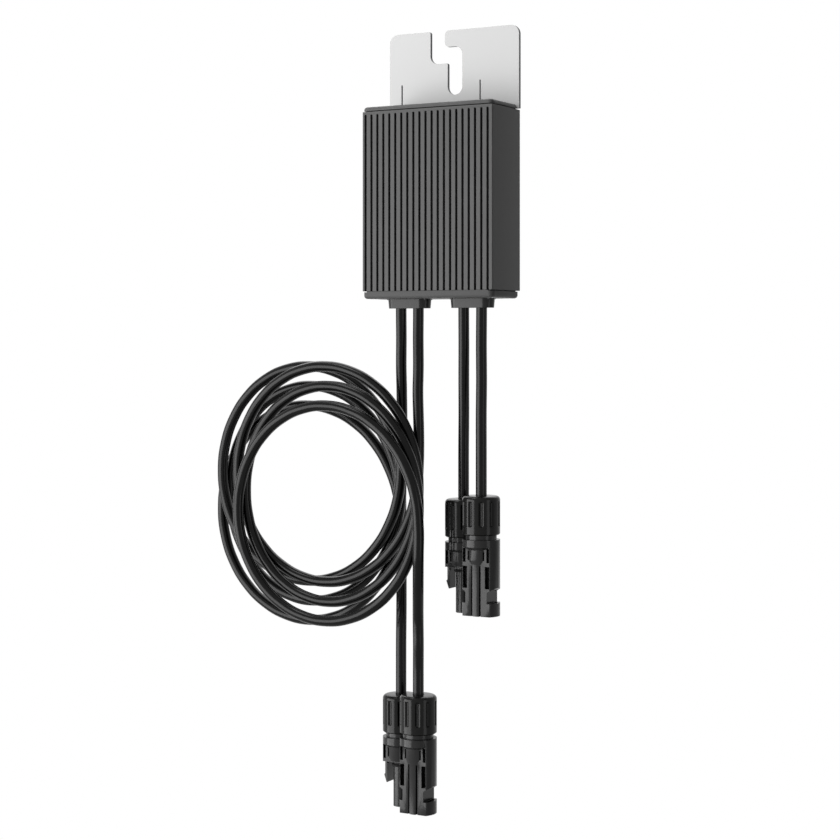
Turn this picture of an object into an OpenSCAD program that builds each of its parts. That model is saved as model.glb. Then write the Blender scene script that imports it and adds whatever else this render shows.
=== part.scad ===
// Power optimizer for one solar panel: a ribbed housing that hangs on a slotted bracket,
// with two short input cables and two long output cables that end in round connectors.
// Sizes are in millimetres. The origin is the bolt seat of the bracket slot, on the bracket's back.

/* [Housing] */
// Width of the housing
body_w = 75; // [66:0.5:90]
// Depth of the housing, from the rib faces to the back
body_d = 31; // [29:0.5:36]
// Height of the housing between its two end faces
body_h = 92; // [80:0.5:120]
// Thickness of the side walls
wall = 2.2; // [1.6:0.1:3]
// Thickness of the front wall behind the grooves
front_wall = 2; // [1.5:0.1:3]
// Thickness of the back wall under the bracket recess
back_wall = 2.2; // [1.6:0.1:3]
// Radius of the upright edges
body_edge = 0.5; // [0.3:0.1:2]
// Number of grooves in the front
groove_count = 21; // [11:1:21]
// Distance between neighbouring grooves
groove_pitch = 3.52; // [2.8:0.02:3.6]
// Sideways place of the middle groove from the middle of the housing
groove_shift = -0.4; // [-0.5:0.1:0.5]
// Width of one groove
groove_w = 1.25; // [0.8:0.05:1.8]
// Depth of one groove
groove_depth = 3; // [1:0.1:4]
// Plain band above the grooves
groove_top_band = 1.4; // [0.8:0.1:6]

/* [End caps] */
// Height of the top cap
top_cap_h = 2.1; // [2:0.1:5]
// Height of the bottom cap
bottom_cap_h = 3.4; // [2.4:0.1:6]
// Radius of the outer edge of the caps
cap_edge = 1.7; // [0.6:0.1:1.9]
// Radius of the upright corners of the caps
cap_corner = 2.6; // [2:0.1:5]
// Height of the lip that locates a cap in the housing
cap_lip_h = 2; // [1:0.1:4]
// Thickness of the locating lip
cap_lip_t = 1.6; // [1:0.1:2.5]
// Thickness of the gaskets under the caps
gasket_t = 0.5; // [0.3:0.05:1]
// Distance of the gasket's outer edge from the housing side
gasket_inset = 0.9; // [0.4:0.1:1.2]
// Diameter of the cap screws
cap_screw_d = 2.5; // [2:0.1:3]
// Length of the cap screws
cap_screw_len = 10; // [6:0.5:16]

/* [Mounting bracket] */
// Thickness of the bracket sheet
bracket_t = 2; // [1.5:0.1:3]
// How far the bracket stands past each side of the housing
bracket_over = 0.4; // [0:0.1:2]
// Height of the bracket above the housing
bracket_rise = 43.4; // [38:0.2:60]
// Depth to which the bracket lies in the back of the housing
bracket_recess = 2.2; // [1:0.1:2.4]
// Radius of the bracket's top corners
bracket_corner = 4.8; // [2:0.1:8]
// Width of the bolt slot
slot_w = 8.4; // [6.4:0.1:9]
// Sideways place of the bolt seat from the middle of the housing
seat_x = 1; // [-4:0.1:4]
// Distance of the bolt seat below the top of the bracket
seat_drop = 12.8; // [11:0.1:16]
// Length of the straight slot below the bolt seat
slot_len = 16.5; // [8:0.5:18]
// Sideways step from the entry of the slot to the bolt seat
entry_step = 10.2; // [9.6:0.1:14]
// Corner radius of the hook beside the entry
hook_corner = 2.4; // [0.5:0.1:2.8]
// Corner radius at the far side of the entry
entry_corner = 1.2; // [0.4:0.1:3]
// Width of the tongue that is screwed to the housing
tongue_w = 45.4; // [30:0.2:50]
// Sideways place of the tongue from the middle of the housing
tongue_x = -7.4; // [-9:0.1:9]
// Length of the tongue below the top of the housing
tongue_len = 66; // [40:1:76]
// Width of the relief slits beside the tongue
slit_w = 0.7; // [0.5:0.05:1.5]
// Height of the relief slits above the housing
slit_rise = 16.6; // [8:0.2:20]
// Diameter of the bracket screws
bracket_screw_d = 3.5; // [3:0.1:4]
// Length of the bracket screws
bracket_screw_len = 9; // [7:0.5:9]

/* [Circuit board] */
// Thickness of the circuit board
board_t = 1.6; // [1:0.1:2]
// Distance from the front wall to the circuit board
board_gap = 3; // [2.4:0.1:4]
// Thickness of the pad between the power transistors and the front wall
pad_t = 1; // [0.5:0.1:1.5]
// Side of the inductor core
core_side = 28; // [24:0.5:30]
// Radius of the middle leg of the inductor core
core_leg_r = 5; // [3:0.5:6]
// Radius of the inductor winding
winding_r = 11; // [8:0.5:11.5]
// Diameter of the capacitors
capacitor_d = 9.6; // [8:0.1:10.4]
// Length of a clamp block on a cable end
terminal_h = 8; // [5:0.5:10]

/* [Cable glands] */
// Width of a gland
gland_w = 24.2; // [22:0.1:26]
// Depth of a gland
gland_d = 9.4; // [8.8:0.1:12]
// Height of a gland below the bottom cap
gland_h = 4.8; // [3:0.1:12]
// Inward slope of the gland sides over its height
gland_draft = 0.4; // [0.1:0.1:0.8]
// Distance from each side of the housing to its gland
gland_inset = 7.1; // [5:0.1:10]
// Distance between the two cables of a gland
cable_pitch = 10.2; // [8:0.1:12]
// Outer diameter of the cables
cable_d = 5.6; // [4:0.1:6]

/* [Output cable coil] */
// Half width of a turn, at the middle of the cable
coil_half_w = 55.4; // [45:0.2:60]
// Half height of a turn, at the middle of the cable
coil_half_h = 59.4; // [45:0.2:62]
// Number of turns
coil_turns = 3; // [2:1:3]
// Fall of the cable from one turn to the next
coil_fall = 10.4; // [7:0.1:12]
// Step from one turn to the next across the coil
coil_step = 6; // [6:0.1:8]

/* [Connectors] */
// Diameter of the cap nut and the collar
nut_d = 19; // [18:0.1:20]
// Length of the cap nut
nut_len = 19.4; // [17:0.1:24]
// Radius of the cap nut's top edge
nut_edge = 2; // [0.5:0.1:3]
// Thickness of the cap nut's top
nut_top = 2.2; // [1.5:0.1:4]
// Number of grip flutes round the cap nut
flute_count = 10; // [6:1:14]
// Width of one grip flute
flute_w = 2.4; // [1:0.1:3]
// Depth of one grip flute
flute_depth = 0.6; // [0.3:0.05:0.9]
// Length of the grip flutes
flute_len = 12.8; // [6:0.1:14]
// Outer diameter of the threaded end inside the cap nut
thread_d = 14; // [13:0.1:15]
// Diameter of the neck between the cap nut and the collar
neck_d = 15.6; // [15.4:0.1:17]
// Length of the neck
neck_len = 2.4; // [1:0.1:5]
// Length of the collar
collar_len = 3.6; // [1.5:0.1:5]
// Height of the cone from the collar in to the boss
collar_cone = 1.5; // [0.5:0.1:2]
// Thickness of a connector body between its two flats
flat_d = 11.6; // [10:0.1:12.4]
// Diameter of the boss below the collar
boss_d = 14.2; // [13:0.1:16]
// Length of the boss below the collar, with its cone
boss_len = 8.9; // [6:0.1:12]
// Diameter of a socket's core below the boss
core_d = 12.7; // [12.4:0.1:13.2]
// Whole length of a socket from the top of its cap nut
socket_len = 60; // [56:0.5:70]
// Diameter of the mouth of a socket
mouth_d = 8.8; // [8.5:0.1:9]
// Depth of the mouth of a socket
mouth_depth = 13; // [8:0.5:16]
// Whole length of a plug from the top of its cap nut
plug_len = 58; // [52:0.5:66]
// Outer diameter of a plug's tube
tube_d = 8; // [7.6:0.1:8.2]
// Reach of a plug's latch arms from the top of its cap nut
arm_reach = 46; // [42:0.5:48]
// Thickness of a latch arm
arm_t = 1.2; // [0.8:0.1:1.6]
// Width of a latch arm
arm_w = 6.8; // [4:0.1:7.4]
// Inner distance from the axis to a latch arm
arm_x = 6.4; // [6.2:0.1:6.8]

/* [Hidden] */
// Smoothness of the round surfaces
$fn = 48;
// Small overlap that keeps a cut clear of the face it starts from
cut = 0.5;
// Clearance between pieces that are fitted by hand, and between a screw and its hole
fit = 0.2;
screw_fit = 0.1;
// Height and width of a screw's conical head against the screw's diameter
head_ratio = 0.5;
head_spread = 2;
// Width across the flats of a screw's socket against the screw's diameter
socket_ratio = 0.75;

// Levels of the housing, with its lower end face at zero
bottom_cap_top = -gasket_t;
bottom_cap_low = bottom_cap_top - bottom_cap_h;
top_cap_low = body_h + gasket_t;
gland_low = bottom_cap_low - gland_h;

// Planes of the bracket, and the bolt seat that is the origin of the part
bracket_front = body_d - bracket_recess;
bracket_back = bracket_front + bracket_t;
bracket_high = body_h + bracket_rise;
bracket_w = body_w + 2 * bracket_over;
slot_r = slot_w / 2;
seat_z = bracket_high - seat_drop;
entry_x = seat_x - entry_step;
slot_low = seat_z - slot_len;
wing_low = top_cap_low + fit;
ledge_corner = 0.8;
tongue_corner = 3;
tongue_low = body_h - tongue_len;
seat = [seat_x, bracket_back, seat_z];

// Hollow of the housing
cavity_w = body_w - 2 * wall;
cavity_front = groove_depth + front_wall;
cavity_back = bracket_front - back_wall;
cavity_d = cavity_back - cavity_front;
cavity_y = (cavity_front + cavity_back) / 2;
cavity_corner = 1;

// Screw columns in the corners of the hollow
column_wall = 1.4;
column_r = cap_screw_d / 2 + column_wall;
column_x = cavity_w / 2 - column_r + cut;
column_front = cavity_front + column_r - cut;
column_back = cavity_back - column_r + cut;
column_places = [for (sx = [-1, 1], y = [column_front, column_back]) [sx * column_x, y]];
top_cap_d = bracket_front - fit;

// Rim of the bottom cap in front of the gasket, up to the ends of the ribs
rim_w = body_w - 2 * cap_corner;
rim_d = groove_depth - fit;
rim_gap = 0.1;

// Ends of the caps at the back: the top cap has small corners at the bracket, the bottom cap stops short
top_cap_back_corner = cap_edge + 0.1;
bottom_cap_inset = 1;
bottom_cap_d = body_d - bottom_cap_inset;

// Bracket screws, two pairs on the tongue, in bosses on the back wall
boss_wall = 1.8;
boss_floor = 1.5;
boss_r = bracket_screw_d / 2 + boss_wall;
screw_end_room = 0.5;
bracket_screw_inset = 7;
bracket_screw_drop = 14;
bracket_screw_rise = 9;
bracket_screw_side = tongue_w / 2 - bracket_screw_inset;
bracket_screw_zs = [body_h - bracket_screw_drop, tongue_low + bracket_screw_rise];
bracket_screw_places = [for (s = [-1, 1], z = bracket_screw_zs) [tongue_x + s * bracket_screw_side, z]];
bracket_boss_len = bracket_screw_len - bracket_t - back_wall + boss_floor;

// Circuit board and the pieces on it
board_front = cavity_front + board_gap;
board_back = board_front + board_t;
board_room = 0.75;
board_w = 2 * (column_x - column_r - board_room);
board_low = 4;
board_end_room = 5;
board_high = body_h - board_end_room;
board_screw_d = 2.5;
board_screw_len = 4;
board_screw_head = 1.4;
board_screw_hole = board_screw_len - board_t + screw_end_room;
board_screw_inset = 4;
board_screw_rise = 14;
board_screw_x = board_w / 2 - board_screw_inset;
board_screw_zs = [board_low + board_screw_rise, board_high - board_screw_inset];
board_screw_places = [for (s = [-1, 1], z = board_screw_zs) [s * board_screw_x, z]];
standoff_r = 2.6;
transistor_t = board_gap - pad_t;
transistor_w = 8;
transistor_h = 10;
transistor_drop = 15;
transistor_z = board_high - transistor_drop;
row_xs = [-16.5, -5.5, 5.5, 16.5];
pad_margin = 2;
pad_w = row_xs[3] - row_xs[0] + transistor_w + 2 * pad_margin;
pad_h = transistor_h + 2 * pad_margin;
terminal_w = 7;
terminal_rise = 2;
terminal_low = board_low + terminal_rise;
boss_room = 0.6;
tall_room = cavity_back - bracket_boss_len - board_back - boss_room;
core_depth = min(13.5, tall_room);
core_gap = 6;
core_z = terminal_low + terminal_h + core_gap + core_side / 2;
core_skin = 2;
capacitor_len = min(12, tall_room);
row_gap = 5;
capacitor_z = core_z + core_side / 2 + row_gap + capacitor_d / 2;
chip_side = 9;
chip_t = 1.4;
chip_z = capacitor_z + capacitor_d / 2 + row_gap + chip_side / 2;

// Cables, with a bore that takes the cable in its gland
cable_y = body_d / 2;
cable_r = cable_d / 2;
cable_hole_r = cable_r + fit;
gland_neck = 0.7;
gland_pitch = body_w - gland_w - 2 * gland_inset;
gland_flange_t = 1.4;
output_xs = [-(gland_pitch + cable_pitch) / 2, -(gland_pitch - cable_pitch) / 2];
input_xs = [(gland_pitch - cable_pitch) / 2, (gland_pitch + cable_pitch) / 2];
tube_sides = 10;

// Connector places, as the point on the axis at the top of each cap nut
input_plug_at = [10.2, 21, -106];
input_socket_at = [26.6, 9, -103];
output_plug_at = [-26.6, 21, -209];
output_socket_at = [-9.6, 9, -206];

// Routes of the cables in the housing frame, from the terminals down to the contacts
cable_in = 16;
input_left_route = [
    [input_xs[0], cable_y, terminal_low], [input_xs[0], cable_y, -12], [12.8, 16.4, -28], [12, 17.8, -45],
    [11.1, 19.6, -62], [10.2, 21, -82], [10.2, 21, -96], [10.2, 21, -122]
];
input_right_route = [
    [input_xs[1], cable_y, terminal_low], [input_xs[1], cable_y, -12], [23.8, 14.5, -28], [24.8, 12.8, -45],
    [25.7, 10.7, -62], [26.6, 9, -80], [26.6, 9, -94], [26.6, 9, -119]
];
left_upper_route = [
    [output_xs[0], cable_y, terminal_low], [output_xs[0], cable_y, -12], [-23.8, 16.4, -24],
    [-24.8, 18, -38], [-24.8, 18.5, -50]
];
right_upper_route = [
    [output_xs[1], cable_y, terminal_low], [output_xs[1], cable_y, -12], [-12.8, 14.6, -24],
    [-11.8, 13, -38], [-11.8, 12.5, -50]
];
left_lower_route = [
    [-28.8, 25.2, -166], [-27.6, 22.8, -180], [-26.6, 21, -195], [-26.6, 21, -210], [-26.6, 21, -225]
];
right_lower_route = [
    [-7.8, 5.6, -166], [-8.6, 7.3, -180], [-9.6, 9, -194], [-9.6, 9, -208], [-9.6, 9, -222]
];

// Coil of each output cable: the turns lean along the line from the front right to the back left
coil_lean = 0.56;
coil_z = -90.6;
coil_ripple = 1;
coil_depth = coil_turns * coil_step + cable_d;
coil_room = 0.8;
coil_gap = 0.1;
lead_high = -50;
lead_low = -166;

// Connector levels, down from the top of the cap nut, and the inner steps of the bodies
neck_low = -nut_len - neck_len;
collar_low = neck_low - collar_len;
boss_low = collar_low - boss_len;
boss_cone = 2.4;
thread_top = -6;
seal_low = -14;
seal_r = 5.2;
contact_hole_r = 3.1;
contact_r = 2.9;
crimp_r = 2.4;
pin_r = 2;
crimp_low = -28;
flute_drop = 0.6;
flute_turn = 8.4;
slab_end = 0.4;
slab_low = boss_low - slab_end;
slit_x = 6.6;
slit_drop = 0.6;
slit_wide = 1.5;
slit_long = 7;
slit_deep = 1.6;
window_x = 6.2;
window_wide = 2.4;
window_drop = 0.7;
window_long = 11;
window_high = boss_low - window_drop;
window_low = window_high - window_long;
channel_x = arm_x - fit;
channel_wide = arm_t + 3 * fit;
channel_deep = arm_w + 2 * fit;
notch_x = 6;
notch_drop = 1.4;
notch_long = 6;
notch_high = window_low - notch_drop;
notch_low = notch_high - notch_long;
notch_slope = 1.6;
notch_lead = 0.6;
mouth_high = -socket_len + mouth_depth;
contact_rise = 1;
contact_floor = 2;
socket_contact_low = mouth_high + contact_rise;
pin_recess = 6;
pin_low = -plug_len + pin_recess;
crimp_ring_rise = 2;
crimp_ring_h = 3;
barb = 0.6;
barb_rise = 4;
barb_z = -arm_reach + barb_rise;
ring_r = 0.6;
ring_groove = 0.3;
ring_drop = 2;
ring_z = slab_low - ring_drop;
ring_path_r = tube_d / 2 - ring_groove + ring_r;

// Colours
paint = [0.3, 0.3, 0.31];
steel = [0.84, 0.85, 0.85];
dark_rubber = [0.08, 0.08, 0.08];
moulding = [0.2, 0.2, 0.2];
jacket = [0.1, 0.1, 0.1];
copper = [0.72, 0.45, 0.3];
tin = [0.75, 0.75, 0.72];

// Moves what is drawn in the housing frame to the bolt seat
module in_frame() {
    translate(-seat) children();
}

// Rectangle with round corners, on the middle of both axes
module rounded_rect(w, d, r) {
    square([w - 2 * r, d], center = true);
    square([w, d - 2 * r], center = true);
    for (sx = [-1, 1], sy = [-1, 1]) translate([sx * (w / 2 - r), sy * (d / 2 - r)]) circle(r);
}

// Outline of the housing seen from above, drawn in by a margin
module body_outline(margin, r) {
    translate([0, body_d / 2]) rounded_rect(body_w - 2 * margin, body_d - 2 * margin, r);
}

// What is cut away to round a corner whose sheet lies towards +x and +y
module corner_cut(r) {
    difference() {
        translate([-cut, -cut]) square(r + cut);
        translate([r, r]) circle(r);
    }
}

// A countersunk screw that points down from its flush head at zero
module countersunk_screw(d, len) {
    difference() {
        union() {
            translate([0, 0, -head_ratio * d]) cylinder(h = head_ratio * d, d1 = d, d2 = head_spread * d);
            translate([0, 0, -len]) cylinder(h = len - head_ratio * d, d = d);
        }
        translate([0, 0, -head_ratio * d])
            cylinder(h = head_ratio * d + cut, d = socket_ratio * d, $fn = 6);
    }
}

// The hole for such a screw
module countersunk_hole(d, len) {
    translate([0, 0, -head_ratio * d]) cylinder(h = head_ratio * d, d1 = d + 2 * screw_fit,
        d2 = head_spread * d + 2 * screw_fit);
    translate([0, 0, -len]) cylinder(h = len + cut, d = d + 2 * screw_fit);
    cylinder(h = cut, d = head_spread * d + 2 * screw_fit);
}

module housing() {
    color(paint) in_frame() {
        difference() {
            linear_extrude(body_h) body_outline(0, body_edge);
            difference() {
                translate([0, cavity_y, -cut]) linear_extrude(body_h + 2 * cut)
                    rounded_rect(cavity_w, cavity_d, cavity_corner);
                for (p = column_places) translate(p) translate([0, 0, -2 * cut])
                    cylinder(h = body_h + 4 * cut, r = column_r);
                for (p = bracket_screw_places) translate([p[0], cavity_back + cut, p[1]]) rotate([90, 0, 0])
                    cylinder(h = bracket_boss_len + cut, r = boss_r);
                for (p = board_screw_places) translate([p[0], board_front, p[1]]) rotate([90, 0, 0])
                    cylinder(h = board_gap + cut, r = standoff_r);
            }
            for (p = column_places) translate(p) translate([0, 0, -cut])
                cylinder(h = body_h + 2 * cut, d = cap_screw_d + 2 * screw_fit);
            for (p = bracket_screw_places) translate([p[0], bracket_back, p[1]]) rotate([90, 0, 0])
                cylinder(h = bracket_screw_len + screw_end_room, d = bracket_screw_d + 2 * screw_fit);
            for (p = board_screw_places) translate([p[0], board_front + cut, p[1]]) rotate([90, 0, 0])
                cylinder(h = board_screw_hole + cut, d = board_screw_d + 2 * screw_fit);
            front_grooves();
            bracket_pocket();
        }
    }
}

// Upright grooves, open at the lower end and round at the upper end
module front_grooves() {
    groove_high = body_h - groove_top_band - groove_w / 2;
    groove_first = groove_shift - (groove_count - 1) / 2 * groove_pitch;
    for (i = [0 : groove_count - 1]) translate([groove_first + i * groove_pitch, 0, 0]) {
        translate([-groove_w / 2, -cut, -cut]) cube([groove_w, groove_depth + cut, groove_high + cut]);
        translate([0, groove_depth, groove_high]) rotate([90, 0, 0])
            cylinder(h = groove_depth + cut, d = groove_w);
    }
}

// Shallow pocket in the back that takes the tongue of the bracket
module bracket_pocket() {
    translate([tongue_x - tongue_w / 2 - fit, bracket_front, tongue_low - fit])
        cube([tongue_w + 2 * fit, bracket_recess + cut, tongue_len + fit + cut]);
}

// One corner post of a cap, with a round upper edge
module cap_post(r, h) {
    rotate_extrude() {
        square([r, h - cap_edge]);
        square([r - cap_edge, h]);
        intersection() {
            translate([r - cap_edge, h - cap_edge]) circle(cap_edge);
            square([r, h]);
        }
    }
}

// A flat cap with round corners and a round upper edge, from the front face back to depth d
module cap_plate(d, h, back_r) {
    hull() for (sx = [-1, 1]) {
        translate([sx * (body_w / 2 - cap_corner), cap_corner, 0]) cap_post(cap_corner, h, $fn = 32);
        translate([sx * (body_w / 2 - back_r), d - back_r, 0]) cap_post(back_r, h, $fn = 32);
    }
}

// Lip under a cap that fits the hollow of the housing, open where the screw columns stand
module cap_lip() {
    difference() {
        translate([0, cavity_y, 0]) linear_extrude(cap_lip_h) difference() {
            rounded_rect(cavity_w - 2 * fit, cavity_d - 2 * fit, cavity_corner);
            square([cavity_w - 2 * fit - 2 * cap_lip_t, cavity_d - 2 * fit - 2 * cap_lip_t], center = true);
        }
        for (p = column_places) translate(p) translate([0, 0, -cut])
            cylinder(h = cap_lip_h + 2 * cut, r = column_r + fit);
    }
}

module top_cap() {
    color(paint) in_frame() difference() {
        union() {
            translate([0, 0, top_cap_low]) cap_plate(top_cap_d, top_cap_h, top_cap_back_corner);
            translate([0, 0, top_cap_low - cap_lip_h]) cap_lip();
        }
        for (p = column_places) translate([p[0], p[1], top_cap_low + top_cap_h])
            countersunk_hole(cap_screw_d, top_cap_h + cut);
    }
}

module bottom_cap() {
    color(paint) in_frame() difference() {
        union() {
            translate([0, 0, bottom_cap_top]) mirror([0, 0, 1])
                cap_plate(bottom_cap_d, bottom_cap_h, cap_corner);
            translate([0, 0, bottom_cap_top]) cap_lip();
            translate([-rim_w / 2, 0, bottom_cap_top - cut]) cube([rim_w, rim_d, gasket_t - rim_gap + cut]);
        }
        for (p = column_places) translate([p[0], p[1], bottom_cap_low]) mirror([0, 0, 1])
            countersunk_hole(cap_screw_d, bottom_cap_h + cut);
        for (sx = [-1, 1]) translate([sx * gland_pitch / 2, cable_y, bottom_cap_low - cut])
            linear_extrude(bottom_cap_h + 2 * cut)
                square([gland_w - 2 * gland_neck, gland_d - 2 * gland_neck], center = true);
    }
}

// Flat gasket between a cap and the end face of the housing
module gasket() {
    linear_extrude(gasket_t) difference() {
        translate([0, bracket_front / 2])
            rounded_rect(body_w - 2 * gasket_inset, bracket_front - 2 * gasket_inset, body_edge);
        translate([0, cavity_y]) rounded_rect(cavity_w, cavity_d, cavity_corner);
        front_groove_mouths();
    }
}

// Where the grooves leave no end face for the gasket
module front_groove_mouths() {
    translate([-body_w / 2, -cut]) square([body_w, groove_depth + cut]);
}

module top_gasket() {
    color(dark_rubber) in_frame() translate([0, 0, body_h]) gasket();
}

module bottom_gasket() {
    color(dark_rubber) in_frame() translate([0, 0, bottom_cap_top]) gasket();
}

module top_cap_screws() {
    color(steel) in_frame() for (p = column_places) translate([p[0], p[1], top_cap_low + top_cap_h])
        countersunk_screw(cap_screw_d, cap_screw_len);
}

module bottom_cap_screws() {
    color(steel) in_frame() for (p = column_places) translate([p[0], p[1], bottom_cap_low])
        mirror([0, 0, 1]) countersunk_screw(cap_screw_d, cap_screw_len);
}

// Path of the bolt: down the entry, across under the hook, and down the straight slot
module bolt_slot() {
    translate([entry_x - slot_r, seat_z]) square([slot_w, seat_drop + cut]);
    translate([entry_x, seat_z]) circle(slot_r);
    translate([entry_x, seat_z - slot_r]) square([entry_step, slot_w]);
    translate([seat_x, seat_z]) circle(slot_r);
    translate([seat_x - slot_r, slot_low]) square([slot_w, slot_len]);
    translate([seat_x, slot_low]) circle(slot_r);
}

// Rounding of the corners that the bolt passes
module slot_corners() {
    translate([entry_x + slot_r, seat_z + slot_r]) corner_cut(hook_corner);
    translate([entry_x + slot_r, bracket_high]) mirror([0, 1]) corner_cut(hook_corner);
    translate([entry_x - slot_r, bracket_high]) rotate(180) corner_cut(entry_corner);
    translate([seat_x - slot_r, seat_z - slot_r]) rotate(180) corner_cut(ledge_corner);
}

// Sheet outline of the bracket, seen from the front
module bracket_outline() {
    difference() {
        union() {
            translate([-bracket_w / 2, wing_low]) square([bracket_w, bracket_high - wing_low]);
            translate([tongue_x - tongue_w / 2, tongue_low])
                square([tongue_w, tongue_len + bracket_rise / 2]);
        }
        bolt_slot();
        slot_corners();
        for (s = [0, 1]) mirror([s, 0]) translate([-bracket_w / 2, bracket_high]) mirror([0, 1])
            corner_cut(bracket_corner);
        for (s = [-1, 1]) translate([tongue_x + s * (tongue_w + slit_w) / 2, wing_low - cut])
            translate([-slit_w / 2, 0]) square([slit_w, slit_rise - gasket_t - fit + cut]);
        for (s = [0, 1]) translate([tongue_x, 0]) mirror([s, 0])
            translate([-tongue_w / 2, tongue_low]) corner_cut(tongue_corner);
    }
}

module mounting_bracket() {
    color(steel) in_frame() difference() {
        translate([0, bracket_back, 0]) rotate([90, 0, 0]) linear_extrude(bracket_t) bracket_outline();
        for (p = bracket_screw_places) translate([p[0], bracket_back, p[1]]) rotate([-90, 0, 0])
            countersunk_hole(bracket_screw_d, bracket_t + cut);
    }
}

module bracket_screws() {
    color(steel) in_frame() for (p = bracket_screw_places) translate([p[0], bracket_back, p[1]])
        rotate([-90, 0, 0]) countersunk_screw(bracket_screw_d, bracket_screw_len);
}

module circuit_board() {
    color("darkgreen") in_frame() difference() {
        translate([-board_w / 2, board_front, board_low]) cube([board_w, board_t, board_high - board_low]);
        for (p = board_screw_places) translate([p[0], board_back + cut, p[1]]) rotate([90, 0, 0])
            cylinder(h = board_t + 2 * cut, d = board_screw_d + 2 * screw_fit);
    }
}

module board_screws() {
    color(steel) in_frame() for (p = board_screw_places) translate([p[0], board_back, p[1]])
        rotate([90, 0, 0]) {
            translate([0, 0, -board_screw_head])
                cylinder(h = board_screw_head, d = head_spread * board_screw_d);
            cylinder(h = board_screw_len, d = board_screw_d);
        }
}

// Pot core whose ring groove holds the winding, standing on the board
module inductor_core() {
    color([0.25, 0.25, 0.27]) in_frame() translate([0, board_back, core_z]) difference() {
        translate([-core_side / 2, 0, -core_side / 2]) cube([core_side, core_depth, core_side]);
        rotate([-90, 0, 0]) translate([0, 0, -cut]) difference() {
            cylinder(h = core_depth - core_skin + cut, r = winding_r + fit);
            translate([0, 0, -cut]) cylinder(h = core_depth + cut, r = core_leg_r);
        }
    }
}

module inductor_winding() {
    color(copper) in_frame() translate([0, board_back, core_z]) rotate([-90, 0, 0]) difference() {
        cylinder(h = core_depth - core_skin - fit, r = winding_r);
        translate([0, 0, -cut]) cylinder(h = core_depth, r = core_leg_r + fit);
    }
}

module capacitors() {
    color([0.2, 0.25, 0.45]) in_frame() for (x = row_xs) translate([x, board_back, capacitor_z])
        rotate([-90, 0, 0]) cylinder(h = capacitor_len, d = capacitor_d);
}

module power_transistors() {
    color(moulding) in_frame() for (x = row_xs)
        translate([x - transistor_w / 2, cavity_front + pad_t, transistor_z - transistor_h / 2])
            cube([transistor_w, transistor_t, transistor_h]);
}

module control_chip() {
    color(moulding) in_frame() translate([-chip_side / 2, board_back, chip_z - chip_side / 2])
        cube([chip_side, chip_t, chip_side]);
}

module thermal_pad() {
    color([0.6, 0.62, 0.65]) in_frame() translate([-pad_w / 2, cavity_front, transistor_z - pad_h / 2])
        cube([pad_w, pad_t, pad_h]);
}

// Clamp blocks on the board, one over the end of each cable
module cable_terminals() {
    color(tin) in_frame() for (x = concat(output_xs, input_xs))
        translate([x - terminal_w / 2, board_back, terminal_low])
            cube([terminal_w, cable_y + cable_r - board_back, terminal_h]);
}

// Oblong of a gland seen from below, with round ends, drawn in by a margin
module gland_outline(margin) {
    r = gland_d / 2 - margin;
    hull() for (sx = [-1, 1]) translate([sx * (gland_w - gland_d) / 2, 0]) circle(r);
}

// Moulded gland: a drafted block under the cap, a neck through it and a flange inside
module gland() {
    neck_w = gland_w - 2 * gland_neck - 2 * fit;
    neck_d = gland_d - 2 * gland_neck - 2 * fit;
    sheet = 0.1;
    difference() {
        union() {
            hull() {
                translate([0, 0, bottom_cap_low - sheet]) linear_extrude(sheet) gland_outline(0);
                translate([0, 0, gland_low]) linear_extrude(sheet) gland_outline(gland_draft);
            }
            translate([-neck_w / 2, -neck_d / 2, bottom_cap_low - cut])
                cube([neck_w, neck_d, bottom_cap_h + cut]);
            translate([-gland_w / 2, -gland_d / 2, bottom_cap_top])
                cube([gland_w, gland_d, gland_flange_t]);
        }
        for (s = [-1, 1]) translate([s * cable_pitch / 2, 0, gland_low - cut])
            cylinder(h = gland_h + bottom_cap_h + gland_flange_t + 2 * cut, r = cable_hole_r);
    }
}

module input_gland() {
    color(moulding) in_frame() translate([gland_pitch / 2, cable_y, 0]) gland();
}

module output_gland() {
    color(moulding) in_frame() translate([-gland_pitch / 2, cable_y, 0]) gland();
}

// Level ring of points round a point of a route, square to the upright
function ring(p) = [for (k = [0 : tube_sides - 1])
    [p[0] + cable_r * cos(360 * k / tube_sides), p[1] + cable_r * sin(360 * k / tube_sides), p[2]]];

// Tube of one cable along a route that always falls
module cable_tube(route) {
    n = len(route);
    m = tube_sides;
    points = [for (p = route) each ring(p)];
    sides = [for (i = [0 : n - 2], k = [0 : m - 1])
        [i * m + k, i * m + (k + 1) % m, (i + 1) * m + (k + 1) % m, (i + 1) * m + k]];
    first = [for (k = [m - 1 : -1 : 0]) k];
    last = [for (k = [0 : m - 1]) (n - 1) * m + k];
    color(jacket) in_frame() polyhedron(points, concat([first], sides, [last]));
}

module input_cable_left() {
    cable_tube(input_left_route);
}

module input_cable_right() {
    cable_tube(input_right_route);
}

module output_cable_left_upper() {
    cable_tube(left_upper_route);
}

module output_cable_left_lower() {
    cable_tube(left_lower_route);
}

module output_cable_right_upper() {
    cable_tube(right_upper_route);
}

module output_cable_right_lower() {
    cable_tube(right_lower_route);
}

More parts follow.
